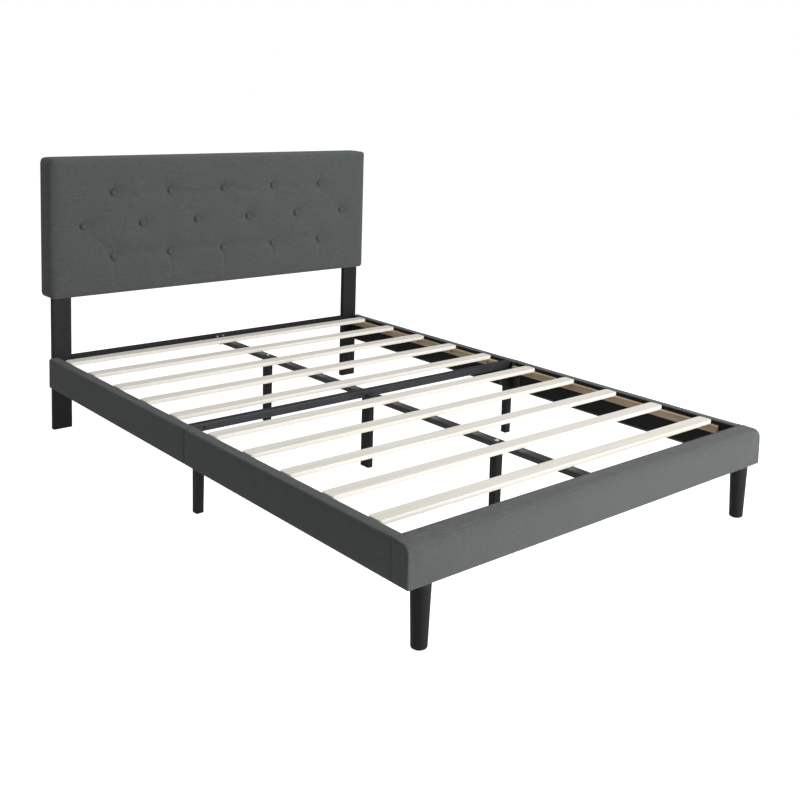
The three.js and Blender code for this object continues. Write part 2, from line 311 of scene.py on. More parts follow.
def sweep(name, loop, start, length, end_round, to_point, material):
    """A closed body: a loop swept along a straight line, drawn in at both ends."""
    centre = (Vector(np.min(loop, axis=0)) + Vector(np.max(loop, axis=0))) / 2
    half = (Vector(np.max(loop, axis=0)) - Vector(np.min(loop, axis=0))) / 2
    bm = bmesh.new()
    rings = []
    for along, inset in end_rings(length, end_round, CLOTH_STEP):
        shrink = Vector((1 - inset / half.x, 1 - inset / half.y))
        ring = [centre + (point - centre) * shrink for point in loop]
        rings.append([bm.verts.new(to_point(point.x, point.y, start + along)) for point in ring])
    for before, after in zip(rings, rings[1:]):
        for k in range(len(loop)):
            onward = (k + 1) % len(loop)
            bm.faces.new((before[k], before[onward], after[onward], after[k]))
    bm.faces.new(rings[0])
    bm.faces.new(rings[-1])
    return add_piece(name, bm, material)


def lathe(bm, rings, place, axis, sides):
    """Rings of (radius, height, hexagon share) joined round an axis into one closed body."""
    turn = Vector((0, 0, 1)).rotation_difference(Vector(axis)).to_matrix()
    loops = []
    for radius, height, hexagon in rings:
        loop = []
        for k in range(sides):
            angle = 2 * math.pi * k / sides
            to_flat = (angle % (math.pi / 3)) - math.pi / 6
            reach = radius * (1 - hexagon + hexagon * math.cos(math.pi / 6) / math.cos(to_flat))
            point = Vector((reach * math.cos(angle), reach * math.sin(angle), height))
            loop.append(bm.verts.new(Vector(place) + turn @ point))
        loops.append(loop)
    for before, after in zip(loops, loops[1:]):
        for k in range(sides):
            onward = (k + 1) % sides
            bm.faces.new((before[k], before[onward], after[onward], after[k]))
    bm.faces.new(loops[0])
    bm.faces.new(loops[-1])


# ---------------------------------------------------------------- materials

class Graph:
    """A material's nodes, made and joined in short calls."""

    def __init__(self, name):
        self.material = bpy.data.materials.new(name)
        self.material.use_nodes = True
        self.tree = self.material.node_tree
        self.shader = self.tree.nodes["Principled BSDF"]
        self.here = self.node("ShaderNodeTexCoord").outputs["Object"]

    def node(self, kind, inputs=None, **settings):
        """Makes a node. Inputs are numbers, colours or other nodes' outputs."""
        made = self.tree.nodes.new(kind)
        for key, value in settings.items():
            setattr(made, key, value)
        for key, value in (inputs or {}).items():
            self.feed(made.inputs[key], value)
        return made

    def feed(self, socket, value):
        if isinstance(value, bpy.types.NodeSocket):
            self.tree.links.new(value, socket)
        else:
            socket.default_value = value

    def math(self, operation, a, b=0.0):
        return self.node("ShaderNodeMath", {0: a, 1: b}, operation=operation).outputs[0]

    def stretched(self, x, y, z):
        """The place on the piece, in metres, times a number on each axis."""
        inputs = {0: self.here, 1: (x, y, z)}
        return self.node("ShaderNodeVectorMath", inputs, operation="MULTIPLY").outputs[0]

    def noise(self, x, y, z, detail=3.0):
        inputs = {"Vector": self.stretched(x, y, z), "Scale": 1.0, "Detail": detail}
        return self.node("ShaderNodeTexNoise", inputs).outputs[0]

    def spread(self, value, low, high, to_low=0.0, to_high=1.0):
        """Maps low to high onto to_low to to_high, and goes no further."""
        inputs = {0: value, 1: low, 2: high, 3: to_low, 4: to_high}
        return self.node("ShaderNodeMapRange", inputs).outputs[0]

    def mix(self, factor, a, b):
        made = self.node("ShaderNodeMix", {0: factor, 6: a, 7: b}, data_type="RGBA")
        return made.outputs[2]

    def edges(self, low, high):
        """Where the surface is an outward edge, from 0 to 1."""
        pointiness = self.node("ShaderNodeNewGeometry").outputs["Pointiness"]
        return self.spread(pointiness, low, high)

    def bump(self, height, distance, strength=1.0, onto=None):
        inputs = {"Height": height, "Distance": distance, "Strength": strength}
        if onto:
            inputs["Normal"] = onto
        return self.node("ShaderNodeBump", inputs).outputs[0]

    def finish(self, colour, roughness, normal=None, **fixed):
        """Joins the nodes to the shader and returns the material."""
        self.feed(self.shader.inputs["Base Color"], colour)
        self.feed(self.shader.inputs["Roughness"], roughness)
        if normal:
            self.feed(self.shader.inputs["Normal"], normal)
        for key, value in fixed.items():
            self.shader.inputs[key.replace("_", " ")].default_value = value
        return self.material


def shade(red, green, blue):
    """A colour from its screen values, 0 to 255, as the linear values that shaders take."""
    return (*[((value / 255 + 0.055) / 1.055) ** 2.4 for value in (red, green, blue)], 1.0)


def woven_height(graph, pitch):
    """Over and under threads on whichever plane the surface faces."""
    wander = graph.spread(graph.noise(90, 90, 90), 0.0, 1.0, 0.0, pitch)
    axes = graph.node("ShaderNodeSeparateXYZ", {0: graph.here}).outputs
    normal = graph.node("ShaderNodeNewGeometry").outputs["Normal"]
    facing = graph.node("ShaderNodeSeparateXYZ", {0: normal}).outputs
    waves = []
    for axis in axes:
        moved = graph.math("ADD", axis, wander)
        waves.append(graph.math("SINE", graph.math("MULTIPLY", moved, 2 * math.pi / pitch)))
    total = None
    for k in range(3):
        across = graph.math("MULTIPLY", waves[(k + 1) % 3], waves[(k + 2) % 3])
        share = graph.math("MULTIPLY", across, graph.math("ABSOLUTE", facing[k]))
        total = share if total is None else graph.math("ADD", total, share)
    return total


def linen(name, dark, light):
    """A grey linen-look weave with heathered yarns and a slight bloom."""
    graph = Graph(name)
    weft = graph.noise(70, 70, 1000)
    warp = graph.noise(1000, 1000, 70)
    yarns = graph.math("MULTIPLY", graph.math("ADD", weft, warp), 0.5)
    heather = graph.spread(yarns, 0.38, 0.62)
    tone = graph.mix(heather, dark, light)
    patches = graph.spread(graph.noise(5, 5, 5, 4.0), 0.35, 0.65, 0.0, 0.35)
    greener = (dark[0] * 1.15, dark[1] * 1.32, dark[2] * 1.22, 1.0)
    tone = graph.mix(patches, tone, greener)
    # Outward edges are painted lighter: a painted highlight where the edges catch the light, with a little
    # rubbed wear
    lit_and_rubbed_edges = graph.math("MULTIPLY", graph.edges(0.52, 0.58), 0.25)
    lit_and_worn_tone = (light[0] * 1.25, light[1] * 1.25, light[2] * 1.25, 1.0)
    tone = graph.mix(lit_and_rubbed_edges, tone, lit_and_worn_tone)
    weave = graph.bump(woven_height(graph, THREAD_PITCH), 0.25 * MM, 0.7)
    slubs = graph.bump(graph.noise(45, 45, 600, 2.0), 0.3 * MM, 0.5, weave)
    rough = graph.spread(heather, 0.0, 1.0, 0.86, 0.98)
    return graph.finish(tone, rough, slubs, Sheen_Weight=0.2, Sheen_Roughness=0.45)


def lining_cloth():
    """Black non-woven dust cloth with its bonded dots."""
    graph = Graph("black_lining")
    fibres = graph.noise(350, 350, 350, 6.0)
    tone = graph.mix(graph.spread(fibres, 0.35, 0.7), shade(9, 8, 9), shade(20, 18, 20))
    dots = graph.node("ShaderNodeTexVoronoi", {"Vector": graph.here, "Scale": 420.0}).outputs["Distance"]
    height = graph.math("ADD", graph.spread(dots, 0.1, 0.4), graph.math("MULTIPLY", fibres, 0.6))
    roughness = graph.spread(fibres, 0.3, 0.7, 0.75, 0.92)
    return graph.finish(tone, roughness, graph.bump(height, 0.2 * MM, 0.6))


def timber(name, stretch, dark, light, blush, rough=(0.5, 0.68)):
    """Sawn wood whose grain runs along the axis with the small stretch value."""
    graph = Graph(name)
    bands = graph.noise(*stretch, 5.0)
    pores = graph.noise(*[value * 9.0 for value in stretch], 2.0)
    tone = graph.mix(graph.spread(bands, 0.34, 0.66), dark, light)
    tone = graph.mix(graph.spread(pores, 0.55, 0.75, 0.0, 0.3), tone, dark)
    boards = graph.noise(1.1, 5.3, 1.1, 1.0)
    tone = graph.mix(graph.spread(boards, 0.4, 0.62, 0.0, 0.55), tone, blush)
    rings = graph.spread(graph.noise(*[value * 3.0 for value in stretch], 3.0), 0.3, 0.7)
    height = graph.math("ADD", rings, pores)
    roughness = graph.spread(bands, 0.3, 0.7, *rough)
    return graph.finish(tone, roughness, graph.bump(height, 0.12 * MM, 0.6))


def fibreboard():
    """Pressed board: small chips with no grain."""
    graph = Graph("fibreboard")
    chips = graph.node("ShaderNodeTexVoronoi", {"Vector": graph.stretched(260, 260, 90)}).outputs["Color"]
    chip = graph.node("ShaderNodeSeparateColor", {0: chips}).outputs[0]
    tone = graph.mix(chip, shade(140, 108, 72), shade(186, 154, 112))
    height = graph.noise(500, 500, 500)
    return graph.finish(tone, graph.spread(chip, 0, 1, 0.7, 0.85), graph.bump(height, 0.2 * MM, 0.5))


def lacquered_wood():
    """Black stained wood under a thin satin coat, with the grain just telling."""
    graph = Graph("black_lacquer")
    grain = graph.noise(240, 240, 14, 4.0)
    dust = graph.noise(30, 30, 30, 5.0)
    tone = graph.mix(graph.spread(grain, 0.35, 0.7), shade(22, 22, 25), shade(30, 30, 34))
    # Outward edges are painted lighter: a painted highlight where the edges catch the light, with a little
    # rubbed wear
    tone = graph.mix(graph.math("MULTIPLY", graph.edges(0.53, 0.62), 0.4), tone, shade(58, 58, 62))
    roughness = graph.spread(dust, 0.3, 0.7, 0.4, 0.56)
    return graph.finish(tone, roughness, graph.bump(grain, 0.1 * MM, 0.35), Specular_IOR_Level=0.25)


def powder_coat():
    """Black powder-coated steel with a fine orange-peel surface."""
    graph = Graph("black_powder_coat")
    peel = graph.noise(900, 900, 900, 2.0)
    film = graph.noise(14, 14, 14, 4.0)
    tone = graph.mix(graph.spread(film, 0.3, 0.7), shade(24, 24, 29), shade(34, 34, 40))
    # Outward edges are painted lighter: a painted highlight where the edges catch the light, with a little
    # rubbed wear
    tone = graph.mix(graph.math("MULTIPLY", graph.edges(0.53, 0.6), 0.6), tone, shade(78, 78, 84))
    roughness = graph.spread(film, 0.3, 0.7, 0.34, 0.5)
    return graph.finish(tone, roughness, graph.bump(peel, 0.05 * MM, 0.4))


def zinc():
    """Bright zinc plating, a little cloudy."""
    graph = Graph("zinc_plate")
    cloud = graph.noise(220, 220, 220, 4.0)
    tone = graph.mix(graph.spread(cloud, 0.3, 0.7), shade(186, 188, 190), shade(226, 226, 224))
    return graph.finish(tone, graph.spread(cloud, 0.3, 0.7, 0.2, 0.38), Metallic=1.0)


def glide_plastic():
    """Moulded black plastic."""
    graph = Graph("black_plastic")
    grit = graph.noise(1200, 1200, 1200, 2.0)
    tone = graph.mix(graph.spread(grit, 0.3, 0.7), shade(24, 24, 25), shade(34, 34, 35))
    return graph.finish(tone, graph.spread(grit, 0.3, 0.7, 0.5, 0.62), graph.bump(grit, 0.06 * MM, 0.4))


def studio_floor():
    """A pale seamless floor that glows, white for the camera and dimmer for the light it gives."""
    graph = Graph("studio_floor")
    paper = graph.noise(3, 3, 3, 4.0)
    tone = graph.mix(graph.spread(paper, 0.3, 0.7), shade(204, 204, 204), shade(208, 208, 208))
    material = graph.finish(tone, 0.9)
    seen = graph.node("ShaderNodeLightPath").outputs["Is Camera Ray"]
    graph.shader.inputs["Emission Color"].default_value = (1.0, 1.0, 1.0, 1.0)
    graph.feed(graph.shader.inputs["Emission Strength"], graph.spread(seen, 0.0, 1.0, *FLOOR_GLOW))
    return material


LINEN = linen("grey_linen", shade(66, 69, 69), shade(92, 95, 94))
# The buttons wear the same linen painted a little darker: painted shade of the dimples they sit in
SHADED_BUTTON_LINEN = linen("shaded_button_linen", shade(63, 66, 66), shade(88, 91, 90))
LINING = lining_cloth()
SLAT_WOOD = timber(
    "slat_wood", (2.2, 70, 70), shade(233, 229, 214), shade(248, 246, 237), shade(244, 235, 230)
)
PINE = timber(
    "ledger_pine", (60, 2.5, 60), shade(156, 133, 107), shade(198, 177, 151), shade(182, 165, 134),
    rough=(0.6, 0.8),
)
BOARD = fibreboard()
LACQUER = lacquered_wood()
STEEL = powder_coat()
ZINC = zinc()
PLASTIC = glide_plastic()


# ---------------------------------------------------------------- soft covers

def inflate(piece, held, cap):
    """Blows a cover up over its foam. Held points stay, and no point moves further than its cap."""
    rest = read_points(piece)
    group = piece.vertex_groups.new(name="held")
    group.add([int(i) for i in np.flatnonzero(held)], 1.0, "REPLACE")
    cloth = piece.modifiers.new("Cloth", "CLOTH")
    cloth.settings.quality = CLOTH_QUALITY
    cloth.settings.mass = CLOTH_MASS
    cloth.settings.tension_stiffness = CLOTH_STRETCH
    cloth.settings.compression_stiffness = CLOTH_STRETCH
    cloth.settings.shear_stiffness = CLOTH_SHEAR
    cloth.settings.bending_stiffness = CLOTH_BENDING
    cloth.settings.use_pressure = True
    cloth.settings.uniform_pressure_force = CLOTH_PRESSURE
    cloth.settings.vertex_group_mass = group.name
    cloth.settings.effector_weights.gravity = 0.0
    cloth.point_cache.frame_start = 1
    cloth.point_cache.frame_end = CLOTH_FRAMES
    for number in range(1, CLOTH_FRAMES + 1):
        scene.frame_set(number)
    blown = read_points(piece.evaluated_get(bpy.context.evaluated_depsgraph_get()))
    piece.modifiers.remove(cloth)
    piece.vertex_groups.remove(group)
    scene.frame_set(1)
    move = blown - rest
    reach = np.maximum(np.linalg.norm(move, axis=1), 1e-9)
    allowed = cap * np.tanh(reach / cap)
    write_points(piece, rest + move * (allowed / reach)[:, None])


def subdivide(piece):
    smooth = piece.modifiers.new("Smooth", "SUBSURF")
    smooth.levels = 1
    smooth.render_levels = 1


def rumple(piece, size, height, axis, held):
    """Small uneven swells along one axis, as hand-pulled cloth has."""
    points = read_points(piece)
    swell = np.array([noise.noise(Vector(point) / size) for point in points])
    points[:, axis] += np.where(held, 0.0, swell * height)
    write_points(piece, points)


def box_grid(low, high, step):
    """A bmesh of even quads all over a box."""
    counts = [max(1, round((high[k] - low[k]) / step)) for k in range(3)]
    bm = bmesh.new()
    made = {}

    def corner(key):
        if key not in made:
            made[key] = bm.verts.new([low[k] + (high[k] - low[k]) * key[k] / counts[k] for k in range(3)])
        return made[key]

    for axis in range(3):
        across, up = [k for k in range(3) if k != axis]
        for side in (0, counts[axis]):
            for i in range(counts[across]):
                for j in range(counts[up]):
                    keys = []
                    for di, dj in ((0, 0), (1, 0), (1, 1), (0, 1)):
                        key = [0, 0, 0]
                        key[axis] = side
                        key[across] = i + di
                        key[up] = j + dj
                        keys.append(tuple(key))
                    bm.faces.new([corner(key) for key in keys])
    return bm


def round_rim(inset, depth, rim):
    """Bends points near a rim into its round. Inset is measured from the side, depth from the face."""
    near = (inset < rim) & (depth < rim)
    pull = np.stack([inset - rim, depth - rim], axis=1)
    scale = rim / np.maximum(np.linalg.norm(pull, axis=1), 1e-9)
    spread = np.abs(pull).max(axis=1) / rim
    turned = rim[:, None] + pull * (scale * spread)[:, None]
    return np.where(near, turned[:, 0], inset), np.where(near, turned[:, 1], depth)


def round_headboard(points, low, high):
    """Rounds a box's outline, and its front and back rims. The front rim is softer at the sides."""
    flat = points[:, [0, 2]]
    corner = HEAD_CORNER
    inner = np.clip(flat, [low[0] + corner, low[2] + corner], [high[0] - corner, high[2] - corner])
    away = flat - inner
    outward = away / np.maximum(np.linalg.norm(away, axis=1), 1e-9)[:, None]
    inset = corner - np.abs(away).max(axis=1)
    thick = high[1] - low[1]
    front = HEAD_SIDE_ROUND * outward[:, 0] ** 2 + HEAD_RIM_ROUND * outward[:, 1] ** 2 + HAIR
    back = np.full(len(points), HEAD_BACK_ROUND)
    inset, depth = round_rim(inset, points[:, 1] - low[1], front)
    inset, from_back = round_rim(inset, thick - depth, back)
    placed = inner + outward * (corner - inset)[:, None]
    return np.stack([placed[:, 0], high[1] - from_back, placed[:, 1]], axis=1)


def button_rows():
    """The buttons' names and middles, row by row from the bottom."""
    rows = []
    for row, count in (("bottom", 5), ("middle", 6), ("top", 5)):
        line = []
        for k in range(count):
            name = f"button_{row}_{k + 1}"
            low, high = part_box(name)
            line.append((name, (low + high) / 2))
        rows.append(line)
    return rows


def fold_lines(rows):
    """Folds in the headboard: (start, end, depth at the start, depth at the end, width)."""
    bottom, middle, top = [[place for _, place in row] for row in rows]
    outward = [(place, 0, -1, LOW_FOLD) for place in bottom]
    outward += [(place, 0, 1, HIGH_FOLD) for place in top]
    outward += [(middle[0], -1, 0, SIDE_FOLD), (middle[-1], 1, 0, SIDE_FOLD)]
    lines = []
    for place, x, z, (length, depth) in outward:
        end = Vector((place.x + x * length, 0, place.z + z * length))
        lines.append((place, end, depth, FOLD_END_DEPTH, FOLD_WIDTH))
    for k, place in enumerate(middle):
        for row in (bottom, top):
            for beside in (k - 1, k):
                if 0 <= beside < len(row):
                    lines.append((place, row[beside], DIAMOND_DEPTH, DIAMOND_DEPTH, DIAMOND_WIDTH))
    return lines


def from_button(points, place):
    """How far each point lies from a button, seen from the front."""
    return np.hypot(points[:, 0] - place.x, points[:, 2] - place.z)


def dimple_depth(points, rows):
    """How far back the buttons pull each point of the headboard's front."""
    depth = np.zeros(len(points))
    for row in rows:
        for _, place in row:
            depth += DIMPLE_DEPTH / (1 + (from_button(points, place) / DIMPLE_SPREAD) ** 2)
    return depth


def fold_depth(points, rows):
    """How far back the folds lie. Each is a narrow valley between two low ridges."""
    depth = np.zeros(len(points))
    for start, end, deep, shallow, width in fold_lines(rows):
        line = np.array([end.x - start.x, end.z - start.z])
        apart = points[:, [0, 2]] - np.array([start.x, start.z])
        along = np.clip(apart @ line / (line @ line), 0, 1)
        aside = np.linalg.norm(apart - along[:, None] * line, axis=1)
        fold = deep + (shallow - deep) * along
        valley = np.exp(-((aside / width) ** 2))
        ridges = np.exp(-(((aside - 2 * width) / width) ** 2))
        depth += fold * (valley - FOLD_RIDGE * ridges)
    return depth


def headboard_cover():
    """The tufted front, wrapped round the sides to the back rim."""
    low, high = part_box("headboard_pad")
    low = low + Vector((HEAD_SLACK, HEAD_SLACK, HEAD_SLACK))
    high = high - Vector((HEAD_SLACK, 0, HEAD_SLACK))
    rows = button_rows()
    cover = add_piece("headboard_cover", box_grid(low, high, CLOTH_STEP), LINEN)
    flat = read_points(cover)
    front_share = np.clip(1 - (flat[:, 1] - low.y) / HEAD_SIDE_ROUND, 0, 1)
    points = round_headboard(flat, low, high)
    points[:, 1] += dimple_depth(points, rows) * front_share
    write_points(cover, points)
    on_front = flat[:, 1] < low.y + ON_FACE
    held = flat[:, 1] > high.y - HEAD_STAPLED
    for row in rows:
        for _, place in row:
            held |= on_front & (from_button(points, place) < BUTTON_GRIP)
    inflate(cover, held, np.where(on_front, FOAM_RISE, SIDE_RISE))
    rumple(cover, *HEAD_SWELL, axis=1, held=held | ~on_front)
    subdivide(cover)
    settle_modifiers(cover)
    points = read_points(cover)
    front_share = np.clip(1 - (points[:, 1] - low.y - FOLD_REACH) / FOLD_FADE, 0, 1)
    points[:, 1] += fold_depth(points, rows) * front_share
    write_points(cover, points)
    carve(cover, headboard_hollow(low, high))
    attach(cover, ["headboard_pad"])


def headboard_hollow(low, high):
    """The space for the inner frame, and a slot in the bottom for each post."""
    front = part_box("headboard_plywood")[0].y - GAP
    plate_low, plate_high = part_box("headboard_back_panel")
    room_low = (plate_low.x - GAP, front, plate_low.z - GAP)
    room_high = (plate_high.x + GAP, high.y + CUT_PAST, plate_high.z + GAP)
    boxes = [(room_low, room_high)]
    for side in ("left", "right"):
        post_low, post_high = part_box(f"post_{side}")
        slot_low = (post_low.x - GAP, post_low.y - GAP, low.z - CUT_PAST)
        slot_high = (post_high.x + GAP, post_high.y + GAP, plate_low.z + MM)
        boxes.append((slot_low, slot_high))
    return boxes


def headboard_back():
    """The back panel in black dust cloth, stapled all round."""
    low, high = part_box("headboard_back_panel")
    panel = rounded_box("headboard_back_cover", low, high, PANEL_EDGE, LINING)
    attach(panel, nodes=["headboard_back_panel"])
    level = Vector((1, 0, 0))
    upright = Vector((0, 0, 1))
    places = []
    for z in (low.z + STAPLE_INSET, high.z - STAPLE_INSET):
        for x in spaced(low.x + STAPLE_ROW_START, high.x - STAPLE_ROW_START, STAPLE_PITCH):
            places.append((Vector((x, high.y, z)), level))
    for x in (low.x + STAPLE_INSET, high.x - STAPLE_INSET):
        for z in spaced(low.z + STAPLE_COLUMN_START, high.z - STAPLE_COLUMN_START, STAPLE_PITCH):
            places.append((Vector((x, high.y, z)), upright))
    staples("headboard_back_staples", places, Vector((0, -1, 0)))


def spaced(start, end, pitch):
    """Even places from start to end, about one pitch apart."""
    cells = max(1, round((end - start) / pitch))
    return [start + (end - start) * k / cells for k in range(cells + 1)]


def staples(name, places, inward):
    """Flat-crowned staples, one for each (middle, direction), sunk two thirds into the cloth."""
    bm = bmesh.new()
    half_crown = 5 * MM
    wire = 0.6 * MM
    for middle, along in places:
        across = along.cross(inward)
        corners = []
        for a in (-1, 1):
            for b in (-1, 1):
                for c in (-0.5, 1):
                    corners.append(middle + along * half_crown * a + across * wire * b + inward * wire * c)
        low = [min(corner[k] for corner in corners) for k in range(3)]
        high = [max(corner[k] for corner in corners) for k in range(3)]
        add_box(bm, low, high)
    bevel_sharp(bm, 0.2 * MM, 2)
    attach(add_piece(name, bm, ZINC))


def rail_covers():
    for side_name, side in (("left", -1), ("right", 1)):
        for half in ("front", "rear"):
            rail_cover(side_name, side, half)


def rail_cover(side_name, side, half):
    """One padded half of a side rail: foam and linen wrapped round its board."""
    pad = f"rail_pad_{side_name}_{half}"
    board = f"rail_board_{side_name}_{half}"
    low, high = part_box(pad)
    board_low, board_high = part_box(board)
    inner = (board_high.x if side < 0 else board_low.x) + side * LINING_THICK
    outer = (low.x if side < 0 else high.x) - side * RAIL_SLACK
    loop = outline([
        (inner, low.z, RAIL_INNER_LOW_ROUND),
        (outer, low.z, RAIL_LOW_ROUND),
        (outer, high.z, RAIL_TOP_ROUND),
        (inner, high.z, RAIL_INNER_ROUND),
    ], CLOTH_STEP)
    cover = sweep(
        f"rail_cover_{side_name}_{half}", loop, low.y, high.y - low.y, RAIL_END_ROUND,
        lambda a, b, along: (a, along, b), LINEN,
    )
    points = read_points(cover)
    from_end = np.minimum(points[:, 1] - low.y, high.y - points[:, 1])
    held = from_end < RAIL_END_ROUND
    held |= np.abs(points[:, 0]) < abs(inner) + ON_FACE
    held |= points[:, 2] < low.z + ON_FACE
    inflate(cover, held, np.full(len(points), RAIL_RISE))
    rumple(cover, *RAIL_SWELL, axis=0, held=held)
    subdivide(cover)
    attach(cover, [pad, board])
    rail_lining(side_name, side, half, inner, board)


def rail_lining(side_name, side, half, outer, board):
    """Black dust cloth over the inside of a rail."""
    low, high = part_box(board)
    low_z = low.z + LINING_HEM
    high_z = high.z - LINING_TOP_HEM
    low_y = low.y + LINING_HEM
    high_y = high.y - LINING_HEM
    x = sorted((outer, outer - side * LINING_THICK))
    name = f"rail_lining_{side_name}_{half}"
    sheet = rounded_box(name, (x[0], low_y, low_z), (x[1], high_y, high_z), LINING_EDGE, LINING, 2)
    attach(sheet)


def footboard_cover():
    """The footboard's foam and linen, wrapped from the front over the top, the ends and the inside."""
    low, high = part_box("footboard_pad")
    board_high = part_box("footboard_board")[1]
    back = board_high.y - LINING_THICK
    loop = outline([
        (low.y + RAIL_SLACK, low.z, RAIL_LOW_ROUND),
        (back, low.z, RAIL_INNER_LOW_ROUND),
        (back, high.z, RAIL_INNER_ROUND),
        (low.y + RAIL_SLACK, high.z, FOOT_TOP_ROUND),
    ], CLOTH_STEP)
    cover = sweep(
        "footboard_cover", loop, low.x + RAIL_SLACK, high.x - low.x - 2 * RAIL_SLACK, FOOT_END_ROUND,
        lambda a, b, along: (along, a, b), LINEN,
    )
    points = read_points(cover)
    held = (points[:, 1] > high.y - FOOT_STAPLED) | (points[:, 2] < low.z + ON_FACE)
    inflate(cover, held, np.full(len(points), RAIL_RISE))
    rumple(cover, *FOOT_SWELL, axis=1, held=held)
    subdivide(cover)
    settle_modifiers(cover)
    room_for_rails = []
    for side in (-1, 1):
        x = sorted((side * (high.x + CUT_PAST), side * (board_high.x - GAP)))
        room_low = (x[0], high.y, low.z - CUT_PAST)
        room_high = (x[1], back + CUT_PAST, high.z + CUT_PAST)
        room_for_rails.append((room_low, room_high))
    carve(cover, room_for_rails)
    attach(cover, ["footboard_pad", "footboard_board"])
    footboard_lining(back)


def footboard_lining(front):
    """Black dust cloth over the inside of the footboard."""
    low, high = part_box("footboard_board")
    sheet_low = Vector((low.x + LINING_HEM, front, low.z + LINING_HEM))
    sheet_high = Vector((high.x - LINING_HEM, high.y, high.z - LINING_HEM))
    sheet = rounded_box("footboard_lining", sheet_low, sheet_high, LINING_EDGE, LINING, 2)
    attach(sheet)


def headboard_buttons():
    for row in button_rows():
        for name, _ in row:
            covered_button(name)


def covered_button(name):
    """A cloth-covered button: a domed cap whose cover gathers in small pleats at the rim."""
    rings = 14
    sides = 48
    pleats = 9
    pleat_depth = 0.035
    back_pleat_share = 0.35
    fullness = 0.75
    low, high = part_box(name)
    middle = (low + high) / 2
    radius = (high.x - low.x) / 2
    thick = high.y - low.y + BUTTON_SEAT - BUTTON_SINK
    # The rows' names differ in length, so their pleats start in different places.
    first_pleat = len(name)
    bm = bmesh.new()
    loops = []
    for i in range(rings + 1):
        angle = math.pi * i / rings
        y = high.y + BUTTON_SEAT - thick * (0.5 - 0.5 * math.cos(angle))
        if i in (0, rings):
            loops.append([bm.verts.new((middle.x, y, middle.z))])
            continue
        reach = radius * math.sin(angle) ** fullness
        gathered = pleat_depth * math.sin(angle) ** 2 * (1 if angle < math.pi / 2 else back_pleat_share)
        loop = []
        for k in range(sides):
            turn = 2 * math.pi * k / sides
            out = reach * (1 + gathered * math.cos(pleats * turn + first_pleat))
            loop.append(bm.verts.new((middle.x + out * math.cos(turn), y, middle.z + out * math.sin(turn))))
        loops.append(loop)
    for before, after in zip(loops, loops[1:]):
        for k in range(sides):
            corners = [before[k % len(before)], before[(k + 1) % len(before)]]
            corners += [after[(k + 1) % len(after)], after[k % len(after)]]
            bm.faces.new(list(dict.fromkeys(corners)))
    attach(add_piece(f"tuft_{name}", bm, SHADED_BUTTON_LINEN), [name])


# ---------------------------------------------------------------- frame pieces

def inside_boards():
    for node in ("headboard_plywood", "headboard_top_timber", "headboard_bottom_timber"):
        finished_copy(node, BOARD_EDGE, BOARD, 2)


def slats():
    for group in ("front", "rear"):
        for k in range(5):
            finished_copy(f"slat_{group}_{k + 1}", SLAT_EDGE, SLAT_WOOD)


def ledgers():
    """The pine strips under the slats, each with its row of screws."""
    for side_name, side in (("left", -1), ("right", 1)):
        for half in ("front", "rear"):
            node = f"ledger_{side_name}_{half}"
            finished_copy(node, LEDGER_EDGE, PINE)
            low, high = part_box(node)
            face = low.x if side > 0 else high.x
            middle = (low.z + high.z) / 2
            bm = bmesh.new()
            for y in spaced(low.y + LEDGER_SCREW_START, high.y - LEDGER_SCREW_START, LEDGER_SCREW_PITCH):
                screw_head(bm, Vector((face, y, middle)), (-side, 0, 0))
            attach(add_piece(f"{node}_screws", bm, STEEL))


def screw_head(bm, place, axis):
    """A flat screw head, just proud of the wood, with a hexagon socket."""
    rings = [
        (3.6 * MM, -0.6 * MM, 0), (4.0 * MM, -0.1 * MM, 0), (3.8 * MM, 0.35 * MM, 0),
        (1.9 * MM, 0.5 * MM, 0), (1.6 * MM, -0.3 * MM, 1),
    ]
    lathe(bm, rings, place, axis, 24)


def socket_bolt(bm, place, axis, radius=6 * MM):
    """A button-head bolt on its washer, with a hexagon socket."""
    rings = [
        (radius * 1.45, 0, 0), (radius * 1.45, 0.9 * MM, 0), (radius * 1.4, 1.1 * MM, 0),
        (radius * 1.02, 1.15 * MM, 0), (radius, 1.9 * MM, 0), (radius * 0.93, 2.9 * MM, 0),
        (radius * 0.72, 3.9 * MM, 0), (radius * 0.55, 4.2 * MM, 0), (radius * 0.46, 4.2 * MM, 1),
        (radius * 0.44, 1.8 * MM, 1),
    ]
    lathe(bm, rings, place, axis, 36)


def posts():
    """The black posts, bolted to the side rails, and the head rail between them."""
    for side in ("left", "right"):
        finished_copy(f"post_{side}", POST_EDGE, LACQUER, 4)
        low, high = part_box(f"post_{side}")
        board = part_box(f"rail_board_{side}_rear")
        x = (max(low.x, board[0].x) + min(high.x, board[1].x)) / 2
        bm = bmesh.new()
        for z in (board[0].z + POST_BOLT_INSET, board[1].z - POST_BOLT_INSET):
            socket_bolt(bm, Vector((x, high.y, z)), (0, 1, 0))
        attach(add_piece(f"post_{side}_bolts", bm, ZINC))
    finished_copy("head_rail", HEAD_RAIL_EDGE, LACQUER)


def front_legs():
    """Turned and tapered legs, each on a plastic glide."""
    for side in ("left", "right"):
        node = f"front_leg_{side}"
        low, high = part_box(node)
        middle = (low + high) / 2
        place = (middle.x, middle.y, low.z)
        top = (high.x - low.x) / 2
        foot = top * FOOT_TO_TOP
        bm = bmesh.new()
        lathe(bm, leg_rings(foot, top, high.z - low.z), place, (0, 0, 1), 64)
        leg = add_piece(f"{node}_turned", bm, LACQUER)
        leg.data.set_sharp_from_angle(angle=LEG_SHARP_ANGLE)
        attach(leg, [node])
        glide_rings = [
            (foot - 5 * MM, 0, 0), (foot - 4.2 * MM, 0.3 * MM, 0),
            (foot - 4 * MM, 1 * MM, 0), (foot - 4 * MM, GLIDE, 0),
        ]
        bm = bmesh.new()
        lathe(bm, glide_rings, place, (0, 0, 1), 48)
        attach(add_piece(f"{node}_glide", bm, PLASTIC))


